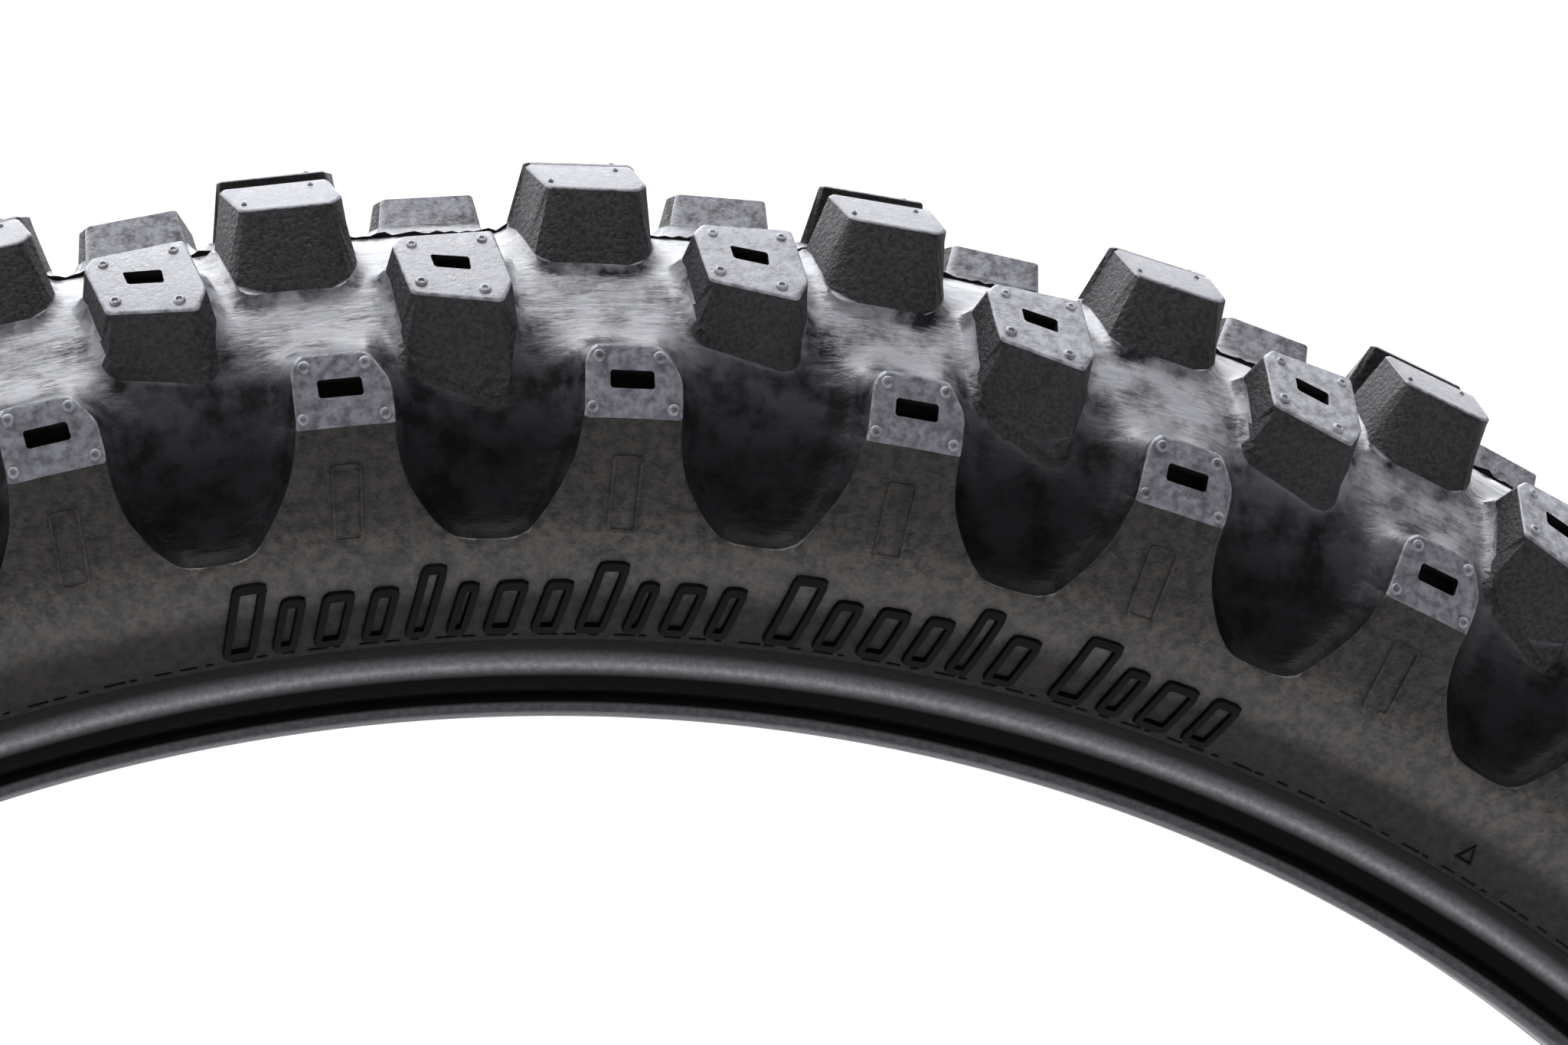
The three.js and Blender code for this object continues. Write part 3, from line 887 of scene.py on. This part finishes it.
# Groups of bars, six times round the sidewall: where each starts and the widths of its bars.
REPEATS = 6
BAR_START = -44.0
BAR_GROUPS = (
    (0.0, (4.8, 3.2, 4.4, 3.6, 3.2, 2.4, 4.4, 3.8, 4.4, 2.4, 4.2, 3.0)),
    (101.6, (5.0, 4.0, 4.6, 4.0, 3.2, 4.6)),
    (158.0, (5.4, 3.4, 5.6, 4.2)),
)
TALL_BARS = (0, 4, 8)
BAR_LOW, BAR_TALL, BAR_SHORT, BAR_LEAN, BAR_GAP = 284.9, 10.2, 7.2, 3.6, 4.5
WEAR_MARK, WEAR_MARK_LOW, WEAR_MARK_HIGH = 204.0, 286.2, 289.2
PANEL_LOW, PANEL_HIGH = 300.4, 311.4
DASHES = 460


def bar(u, width, high):
    """The outline of a leaning bar, from the middle of its foot up to a radius."""
    corners = []
    for side, radius in ((-1, BAR_LOW), (1, BAR_LOW), (1, high), (-1, high)):
        lean = BAR_LEAN * (radius - BAR_LOW) / BAR_TALL
        corners.append([u + side * width / 2 + lean, s_at(radius)])
    return subdivided(rounded(corners, 0.7, 3), 2.0)


def sidewall_marks(shells, flip, plain, dark):
    """Bars, panels, the dashed line over the rim and the wear marks of one side."""

    def add(line, width, height, material, closed=True):
        points, faces = ridge(line, width, height, closed, level_of)
        shells.add(points * [1, flip, 1], faces, material, flip > 0)

    # the bars, wear marks and dashes take the near-black finish, painted shade along their ridges
    turn = 2 * math.pi * CROWN
    for repeat in range(REPEATS):
        start = repeat * 2 * math.pi * CROWN / REPEATS
        for offset, widths in BAR_GROUPS:
            u = start + offset + BAR_START
            for index, width in enumerate(widths):
                high = BAR_LOW + (BAR_TALL if index in TALL_BARS else BAR_SHORT)
                add(bar(u + width / 2, width, high), 1.9, 0.9, dark)
                u += width + BAR_GAP
        mark, low = start + WEAR_MARK, s_at(WEAR_MARK_LOW)
        triangle = [[mark - 1.6, low], [mark + 1.6, low], [mark, s_at(WEAR_MARK_HIGH)]]
        add(subdivided(triangle, 1.6), 0.5, 0.35, dark)
    low, high = s_at(PANEL_LOW), s_at(PANEL_HIGH)
    for row in range(PITCHES):
        u = (row + 0.5) * PITCH + SIDE_LEAD
        line = [[u - 3.4, low], [u + 1.4, low], [u + 2.2, high], [u - 2.6, high]]
        add(subdivided(rounded(line, 0.6, 3), 2.2), 0.8, 0.4, plain)
    for k in range(DASHES):
        u = k * turn / DASHES
        length = turn / DASHES * (0.55 + 0.3 * math.sin(k * 2.399))
        line = [[u + length * share, S_END - 1.1] for share in (0, 0.5, 1)]
        add(line, 0.4, 0.22, dark, closed=False)


def flash(crown_height):
    """The thin, torn flash that the mould's halves left along the crown's centre."""
    steps = 1840
    u = np.arange(steps) * 2 * math.pi * CROWN / steps
    k = np.arange(steps)
    torn = np.abs(np.sin(k * 1.71) * np.sin(k * 0.37 + 1.1) + 0.5 * np.sin(k * 2.93 + 0.4))
    tall = 0.25 + 0.55 * torn
    wander = 0.12 * np.sin(k * 0.9) + 0.08 * np.sin(k * 2.3)
    line = np.stack([u, wander], -1)
    return ridge(line, 0.34, tall, True, crown_height)


# ---- materials ----


def nodes_of(name):
    material = bpy.data.materials.new(name)
    material.use_nodes = True
    tree = material.node_tree
    return material, tree, tree.nodes["Principled BSDF"]


def link(tree, a, b):
    tree.links.new(a, b)


def new_node(tree, kind, **values):
    """A shader node with values for its inputs, whose names have _ for a space."""
    node = tree.nodes.new("ShaderNode" + kind)
    for name, value in values.items():
        node.inputs[name.replace("_", " ")].default_value = value
    return node


def noise(tree, vector, scale, detail, roughness, stretch=None):
    if stretch:
        mapping = new_node(tree, "Mapping", Scale=stretch)
        link(tree, vector, mapping.inputs["Vector"])
        vector = mapping.outputs["Vector"]
    node = new_node(tree, "TexNoise", Scale=scale, Detail=detail, Roughness=roughness)
    link(tree, vector, node.inputs["Vector"])
    return node.outputs["Fac"]


def ranged(tree, value, low, high, to_low, to_high):
    node = new_node(tree, "MapRange", From_Min=low, From_Max=high, To_Min=to_low, To_Max=to_high)
    link(tree, value, node.inputs["Value"])
    return node.outputs["Result"]


def blended(tree, factor, a, b):
    node = tree.nodes.new("ShaderNodeMix")
    node.data_type = "RGBA"
    link(tree, factor, node.inputs["Factor"])
    for socket, value in ((node.inputs["A"], a), (node.inputs["B"], b)):
        if isinstance(value, tuple):
            socket.default_value = (*value, 1)
        else:
            link(tree, value, socket)
    return node.outputs["Result"]


def arithmetic(tree, operation, a, b=None):
    node = tree.nodes.new("ShaderNodeMath")
    node.operation = operation
    for socket, value in zip(node.inputs, (a, b)):
        if value is None:
            continue
        if isinstance(value, (int, float)):
            socket.default_value = value
        else:
            link(tree, value, socket)
    return node.outputs["Value"]


def curve_of(tree, value, zones):
    """Two values that run in straight steps through [position, first, second]."""
    found = []
    for column in (1, 2):
        total = None
        for (a, b) in zip(zones, zones[1:]):
            step = b[column] - a[column]
            if abs(step) < 1e-6:
                continue
            part = ranged(tree, value, a[0], b[0], 0.0, step)
            total = part if total is None else arithmetic(tree, "ADD", total, part)
        found.append(arithmetic(tree, "ADD", total, zones[0][column]))
    return found


def bumped(tree, shader, heights):
    """Bump nodes in a chain, from [height, strength, distance in metres]."""
    normal = None
    for height, strength, distance in heights:
        node = new_node(tree, "Bump", Strength=strength, Distance=distance)
        link(tree, height, node.inputs["Height"])
        if normal is not None:
            link(tree, normal, node.inputs["Normal"])
        normal = node.outputs["Normal"]
    link(tree, normal, shader.inputs["Normal"])


def times(tree, a, b):
    return arithmetic(tree, "MULTIPLY", a, b)


def plus(tree, a, b):
    return arithmetic(tree, "ADD", a, b)


def around(tree):
    """The position, also as [way round the crown, side, radius] in metres, and its radius."""
    coordinates = tree.nodes.new("ShaderNodeTexCoord")
    position = coordinates.outputs["Object"]
    split = tree.nodes.new("ShaderNodeSeparateXYZ")
    link(tree, position, split.inputs["Vector"])
    x, y, z = split.outputs["X"], split.outputs["Y"], split.outputs["Z"]
    angle = arithmetic(tree, "ARCTAN2", x, z)
    radius = arithmetic(tree, "SQRT", plus(tree, times(tree, x, x), times(tree, z, z)))
    combine = tree.nodes.new("ShaderNodeCombineXYZ")
    link(tree, times(tree, angle, CROWN * MM), combine.inputs["X"])
    link(tree, y, combine.inputs["Y"])
    link(tree, radius, combine.inputs["Z"])
    return position, combine.outputs["Vector"], radius


# The roughness that a finish tends to where its zones take its bloom away, in their painted shade.
PLAIN_ROUGHNESS = 0.5


def rubber(
    name,
    dark,
    light,
    rough,
    grain=(2600, 0.25, 0.00012),
    patches=(90, 0.45, 0.62),
    streaks=None,
    specular=0.5,
    zones=None,
):
    """Moulded rubber: dark and light are its colour clean and bloomed, rough its roughness range.

    grain is a fine bump's scale, strength and depth; patches the bloom's scale and its range;
    streaks the scale, stretch and strength of marks round the wheel; and zones the shares of the
    colour and of the specular level at radii in metres, which paint highlights where the colour's
    share is above 1 and shade where it is below."""
    material, tree, shader = nodes_of(name)
    position, turned, radius = around(tree)
    cloud = noise(tree, position, patches[0], 5, 0.62)
    mask = ranged(tree, cloud, patches[1], patches[2], 0, 1)
    # painted light: the zones' colour share, with the bloom cut back where that share paints shade
    if zones:
        share, shine = curve_of(tree, radius, zones)
        kept = arithmetic(tree, "MINIMUM", share, 1.0)
        mask = times(tree, mask, times(tree, kept, kept))
    colour = blended(tree, mask, dark, light)
    shader.inputs["Specular IOR Level"].default_value = specular
    # the colour scaled by the zones' share: painted highlight above 1, painted shade below 1
    if zones:
        scale = tree.nodes.new("ShaderNodeVectorMath")
        scale.operation = "SCALE"
        link(tree, colour, scale.inputs[0])
        link(tree, share, scale.inputs["Scale"])
        colour = scale.outputs["Vector"]
        link(tree, times(tree, shine, specular), shader.inputs["Specular IOR Level"])
    link(tree, colour, shader.inputs["Base Color"])
    worn = noise(tree, position, patches[0] * 2.7, 4, 0.6)
    mixed = times(tree, plus(tree, mask, worn), 0.5)
    if streaks:
        lines = noise(tree, turned, streaks[0], 3, 0.6, stretch=(1.0, streaks[1], streaks[1]))
        mixed = times(tree, plus(tree, mixed, lines), 0.5)
    roughness = ranged(tree, mixed, 0.3, 0.7, rough[0], rough[1])
    if zones:
        plain = times(tree, arithmetic(tree, "SUBTRACT", 1.0, kept), PLAIN_ROUGHNESS)
        roughness = plus(tree, times(tree, roughness, kept), plain)
    link(tree, roughness, shader.inputs["Roughness"])
    fine = noise(tree, position, grain[0], 3, 0.6)
    heights = [(fine, grain[1], grain[2]), (cloud, 0.25, 0.0003)]
    if streaks:
        heights.append((lines, streaks[2], 0.0003))
    bumped(tree, shader, heights)
    return material


# Knob tops: bloom in patches over a colour far lighter than the walls', which is a painted
# highlight for the light the tops catch; the zones paint 1.35 times the colour into the middle
# row's tops, below 344.5 mm
PAINTED_LIT_KNOB = rubber(
    "painted_lit_knob",
    (0.1, 0.1, 0.112),
    (0.3, 0.3, 0.33),
    (0.3, 0.62),
    grain=(1500, 0.5, 0.00016),
    patches=(560, 0.36, 0.62),
    zones=((0.3, 1.35, 1.8), (0.3445, 1.35, 1.8), (0.3475, 0.95, 0.95)),
)
# Knob walls and feet: near black, painted shade for the walls, with bloom in patches
PAINTED_SHADE_WALL = rubber(
    "painted_shade_wall",
    (0.009, 0.0085, 0.0095),
    (0.046, 0.045, 0.048),
    (0.5, 0.75),
    grain=(1300, 0.9, 0.0004),
    patches=(1300, 0.4, 0.6),
    specular=0.45,
)
# Carcass: bloom in patches; its zones darken the colour and the specular level from 330 mm down,
# through the shoulders into the scallops, as painted shade
CARCASS = rubber(
    "carcass",
    (0.016, 0.0165, 0.019),
    (0.31, 0.312, 0.34),
    (0.17, 0.52),
    grain=(3200, 0.15, 0.00005),
    patches=(150, 0.38, 0.58),
    streaks=(140, 4.0, 0.8),
    specular=0.75,
    zones=((0.3, 0.32, 0.1), (0.312, 0.36, 0.14), (0.323, 0.62, 0.5), (0.33, 1, 1)),
)
# Side knobs' faces: bloom in patches over a colour far lighter than the walls', painted light for
# the brightness of their faces
PAINTED_LIT_PATCH = rubber(
    "side_knob_face_painted_lit",
    (0.12, 0.121, 0.137),
    (0.3, 0.302, 0.338),
    (0.36, 0.6),
    grain=(1500, 0.6, 0.0002),
    patches=(700, 0.36, 0.64),
    specular=0.9,
)
# The sidewall's zones paint a highlight band, brightest from 293.5 to 300 mm, and painted shade
# below it down to the rim line.
SIDEWALL_PAINTED_LIGHT = ((0.2826, 0.6, 0.2), (0.2895, 0.7, 0.3), (0.2935, 1.25, 0.95))
SIDEWALL_PAINTED_LIGHT += ((0.3, 1.3, 1.0), (0.3035, 0.9, 0.75), (0.318, 0.85, 0.6))
SIDEWALL = rubber(
    "sidewall",
    (0.03, 0.0275, 0.0255),
    (0.085, 0.076, 0.067),
    (0.34, 0.6),
    grain=(1500, 0.8, 0.00022),
    patches=(620, 0.38, 0.62),
    streaks=(70, 6.0, 0.3),
    zones=SIDEWALL_PAINTED_LIGHT,
)
# Slot floors and the crown's flash: near black, painted shade in the slots and along the flash
SLOT_PAINTED_SHADE = rubber("slot", (0.006, 0.006, 0.006), (0.01, 0.01, 0.01), (0.6, 0.8), specular=0.2)
# The bead's zones, painted light and shade by radius: the lip, the dark band over it as painted
# shade, the bright line as a painted highlight and the darker step to the sidewall.
BEAD_PAINTED_LIGHT = ((0.268, 0.8, 0.5), (0.2714, 0.8, 0.5), (0.2719, 0.06, 0.05))
BEAD_PAINTED_LIGHT += ((0.2765, 0.06, 0.06), (0.2776, 1.0, 0.9), (0.2784, 2.4, 2.0))
BEAD_PAINTED_LIGHT += ((0.2793, 1.2, 1.0), (0.281, 0.4, 0.3), (0.2826, 0.3, 0.25))
BEAD = rubber(
    "bead",
    (0.016, 0.0165, 0.018),
    (0.06, 0.062, 0.07),
    (0.26, 0.42),
    grain=(2400, 0.3, 0.0001),
    patches=(900, 0.42, 0.58),
    specular=0.9,
    zones=BEAD_PAINTED_LIGHT,
)
TOE = rubber("toe", (0.03, 0.03, 0.033), (0.05, 0.05, 0.054), (0.4, 0.55))
LINER = rubber(
    "liner",
    (0.016, 0.016, 0.018),
    (0.03, 0.03, 0.032),
    (0.35, 0.5),
    grain=(900, 0.3, 0.0002),
    streaks=(60, 0.2, 0.4),
)
# Marks: near black, painted shade along the ridges of the bars, the wear marks and the dashes
PAINTED_SHADE_MARK = rubber("marks", (0.003, 0.003, 0.003), (0.006, 0.006, 0.006), (0.4, 0.6), specular=0.1)
INNER = rubber("inner_rubber", (0.02, 0.02, 0.021), (0.03, 0.03, 0.031), (0.6, 0.75))
CORD = rubber(
    "cord",
    (0.07, 0.058, 0.042),
    (0.11, 0.09, 0.065),
    (0.75, 0.9),
    grain=(900, 0.6, 0.0003),
    streaks=(60, 0.1, 0.6),
)


def wire_material():
    material, tree, shader = nodes_of("bead_wire")
    _, turned, _ = around(tree)
    strands = noise(tree, turned, 500, 2, 0.5, stretch=(0.02, 3.0, 3.0))
    mask = ranged(tree, strands, 0.35, 0.65, 0, 1)
    colour = blended(tree, mask, (0.42, 0.3, 0.17), (0.6, 0.47, 0.3))
    link(tree, colour, shader.inputs["Base Color"])
    shader.inputs["Metallic"].default_value = 1
    link(tree, ranged(tree, strands, 0.3, 0.7, 0.3, 0.45), shader.inputs["Roughness"])
    bumped(tree, shader, [(strands, 0.6, 0.0004)])
    return material


WIRE = wire_material()

# ---- tread and sidewalls ----

# Each kind of face's place in its piece's list of finishes.
# The middle knobs' inner walls take the knob tops' lighter finish, painted light for their lit
# side.
MATERIAL_OF = {TOP: 0, BEVEL: 0, INNER_WALL: 0, FOOT: 1, FREE: 2, SLOT_FLOOR: 3}
MATERIAL_OF |= {RAISED: 4, RAISED_EDGE: 4}
patch_flat, patch_height, patch_triangles, patch_zone, patch_kind, crown_height = build_patch()
patch_material = np.array([MATERIAL_OF[k] for k in patch_kind])
for zone, name, node, slot in (
    (0, "tread_rubber", "tread", "tread_rubber"),
    (1, "sidewall_rubber_right", "sidewall_right", "sidewall_rubber"),
    (-1, "sidewall_rubber_left", "sidewall_left", "sidewall_rubber"),
):
    chosen = patch_zone == zone
    triangles, materials = patch_triangles[chosen], patch_material[chosen]
    vertices, faces, kinds = whole(*joined(patch_flat, patch_height, triangles, materials))
    shells = Shells()
    if zone == 0:
        finishes = [PAINTED_LIT_KNOB, PAINTED_SHADE_WALL, CARCASS, SLOT_PAINTED_SHADE, PAINTED_LIT_PATCH]
        # the flash takes the slots' near-black finish, painted shade along it
        points, polygons = flash(crown_height)
        shells.add(points, polygons, finishes.index(SLOT_PAINTED_SHADE), flip=True)
    else:
        finishes = [PAINTED_LIT_KNOB, PAINTED_SHADE_WALL, CARCASS, SLOT_PAINTED_SHADE, SIDEWALL, PAINTED_SHADE_MARK]
        sidewall_marks(shells, zone, finishes.index(SIDEWALL), finishes.index(PAINTED_SHADE_MARK))
    start = len(vertices)
    vertices = np.vstack([vertices, np.array(shells.vertices)])
    faces = faces + [[start + i for i in face] for face in shells.faces]
    kinds = np.concatenate([kinds, shells.kinds])
    piece = new_piece(name, vertices, faces, finishes, (node,), kinds)
    modifier = piece.modifiers.new("weighted", "WEIGHTED_NORMAL")
    modifier.keep_sharp = True
    modifier.weight = 60

nub_vertices, nub_faces = all_nubs()
# the vent nubs take the knob tops' finish and its painted highlight
new_piece("vent_nubs", nub_vertices, nub_faces, [PAINTED_LIT_KNOB], ("tread",))

# ---- bead ----

# Closed sections [side, radius] of the band and of the toe, drawn for one side.
BEAD_SECTION = np.vstack(
    [
        spline([[36.5, 282.5], [36.7, 279.8], [36.0, 276.9], [34.5, 274.4], [33.0, 273.1]], 0.7),
        spline([[33.2, 272.7], [33.3, 271.5], [32.6, 270.1], [31.0, 268.9]], 0.5),
        spline([[29.8, 268.5], [26, 268.0], [22.2, 267.6]], 1.0),
        [[22.2, 271.2], [30.0, 272.6], [34.0, 282.5]],
    ]
)
TOE_LINE = [[22.0, 267.6], [20.3, 267.3], [18.8, 267.3], [18.2, 267.9]]
TOE_LINE += [[18.1, 269.8], [18.2, 271.8]]
TOE_SECTION = np.vstack([spline(TOE_LINE, 0.5), [[21.8, 271.6]]])
for right, side in ((True, "right"), (False, "left")):
    lathe("bead_band_" + side, BEAD_SECTION, right, BEAD, ("chafer_" + side,))
    lathe("bead_toe_" + side, TOE_SECTION, right, TOE, ("toe_strip_" + side,))

for name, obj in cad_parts.items():
    if name.startswith(("undertread", "shoulder", "bead_filler")):
        finish = INNER
    elif name.startswith(("crown_breaker", "outer_body", "inner_body", "bead_wrap")):
        finish = CORD
    elif name.startswith("bead_core"):
        finish = WIRE
    elif name.startswith("inner_liner"):
        finish = LINER
    else:
        continue
    obj.data.materials.clear()
    obj.data.materials.append(finish)

# ---- stage, light and camera ----


def stage_floor():
    mesh = bpy.data.meshes.new("floor")
    low = cad_bounds[0].z - 0.0008
    corners = ((-1, -1), (1, -1), (1, 1), (-1, 1))
    mesh.from_pydata([(30.0 * x, 30.0 * y, low) for x, y in corners], [], [(0, 1, 2, 3)])
    floor = bpy.data.objects.new("floor", mesh)
    bpy.context.scene.collection.objects.link(floor)
    material, tree, shader = nodes_of("floor")
    shader.inputs["Base Color"].default_value = (0.58, 0.58, 0.585, 1)
    shader.inputs["Roughness"].default_value = 0.9
    shader.inputs["Specular IOR Level"].default_value = 0.1
    mesh.materials.append(material)


def soft_box(name, location, target, width, depth, radiance, colour=(1, 1, 1)):
    light = bpy.data.lights.new(name, "AREA")
    light.shape = "RECTANGLE"
    light.size, light.size_y = width, depth
    light.energy = radiance * math.pi * width * depth
    light.color = colour
    obj = bpy.data.objects.new(name, light)
    bpy.context.scene.collection.objects.link(obj)
    obj.location = location
    obj.rotation_mode = "QUATERNION"
    obj.rotation_quaternion = (Vector(target) - Vector(location)).to_track_quat("-Z", "Y")


def studio_world():
    world = bpy.data.worlds.new("studio")
    bpy.context.scene.world = world
    world.use_nodes = True
    tree = world.node_tree
    background = tree.nodes["Background"]
    coordinates = tree.nodes.new("ShaderNodeTexCoord")
    split = tree.nodes.new("ShaderNodeSeparateXYZ")
    link(tree, coordinates.outputs["Generated"], split.inputs["Vector"])
    back = times(tree, split.outputs["Y"], 0.9)
    up = times(tree, split.outputs["Z"], 0.38)
    total = ranged(tree, plus(tree, back, up), 0.1, 0.66, 0.15, 4.9)
    aside = ranged(tree, split.outputs["X"], 0.15, 0.65, 1.0, 0.35)
    background.inputs["Color"].default_value = (0.965, 0.975, 1.0, 1)
    link(tree, times(tree, total, aside), background.inputs["Strength"])


stage_floor()
studio_world()
soft_box("back_box", (-0.3, 0.9, 2.0), (0.0, 0.0, 0.3), 1.5, 0.5, 5.0, (0.95, 0.97, 1.0))
soft_box("top_box", (0.0, 0.25, 2.2), (0.0, 0.0, 0.3), 0.5, 0.9, 4.0)

yaw, pitch, roll = 0.151245, 0.233674, -0.012215
camera_data = bpy.data.cameras.new("camera")
camera_data.sensor_width = 36
camera_data.lens = 120.66
camera = bpy.data.objects.new("camera", camera_data)
bpy.context.scene.collection.objects.link(camera)
camera.location = (-0.067545, -0.806234, 0.483922)
camera.rotation_mode = "QUATERNION"
camera.rotation_quaternion = Vector(
    (math.sin(yaw) * math.cos(pitch), math.cos(yaw) * math.cos(pitch), -math.sin(pitch))
).to_track_quat("-Z", "Y") @ Quaternion((0, 0, 1), roll)
bpy.context.scene.camera = camera
bpy.context.scene.view_settings.view_transform = "Standard"
